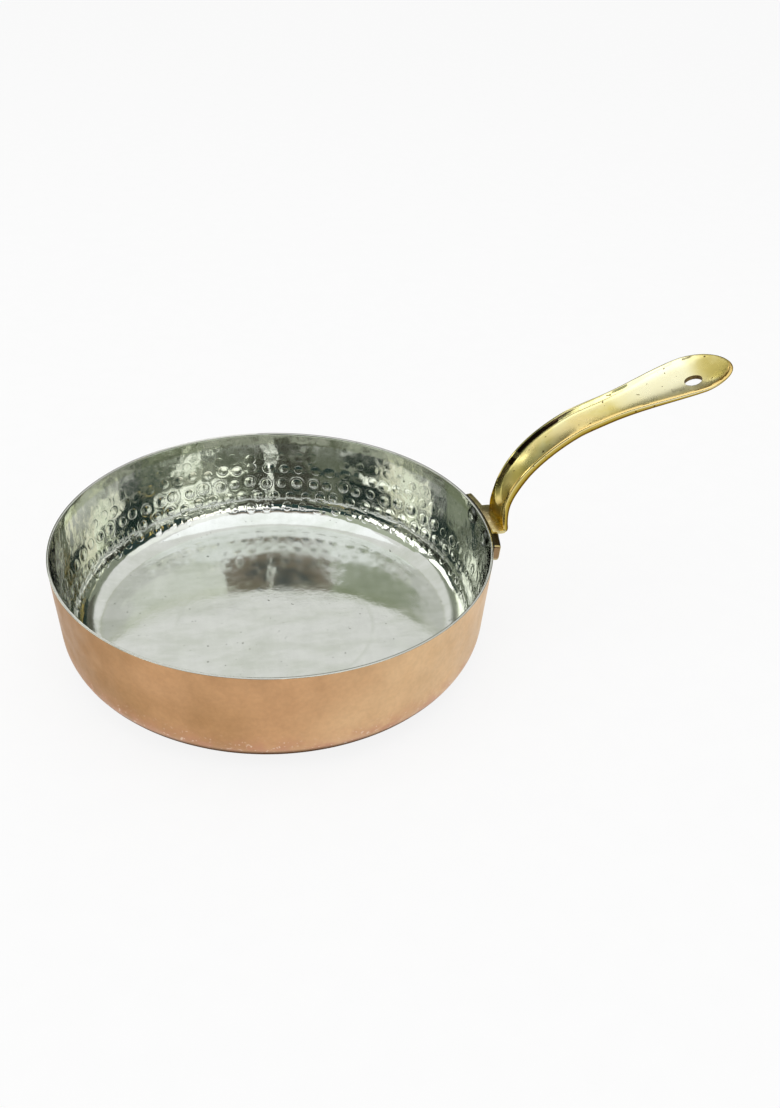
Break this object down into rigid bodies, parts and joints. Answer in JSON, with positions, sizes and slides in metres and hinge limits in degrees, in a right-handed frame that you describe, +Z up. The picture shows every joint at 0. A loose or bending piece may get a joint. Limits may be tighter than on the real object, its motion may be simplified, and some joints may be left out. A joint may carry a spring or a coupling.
{
  "type": "frying pan",
  "caption": "Round copper frying pan with a tinned inside, upright walls and a curved cast brass handle riveted at the rim.",
  "frame": {"origin": "centre of the flat base's underside", "axes": "+X from the pan's centre along the handle, +Y to the left when looking along the handle, +Z up"},
  "size_m": [0.3727, 0.24, 0.1513],
  "materials": {
    "copper": "satin copper, softly polished",
    "tin": "hand-wiped tin, bright and slightly streaked",
    "brass": "polished cast brass",
    "tinned_rivet": "tinned copper rivet"
  },
  "bodies": {
    "root": {"pan_body": "copper", "tin_lining": "tin", "handle": "brass", "rivet_left": "tinned_rivet", "rivet_right": "tinned_rivet"}
  },
  "joints": []
}
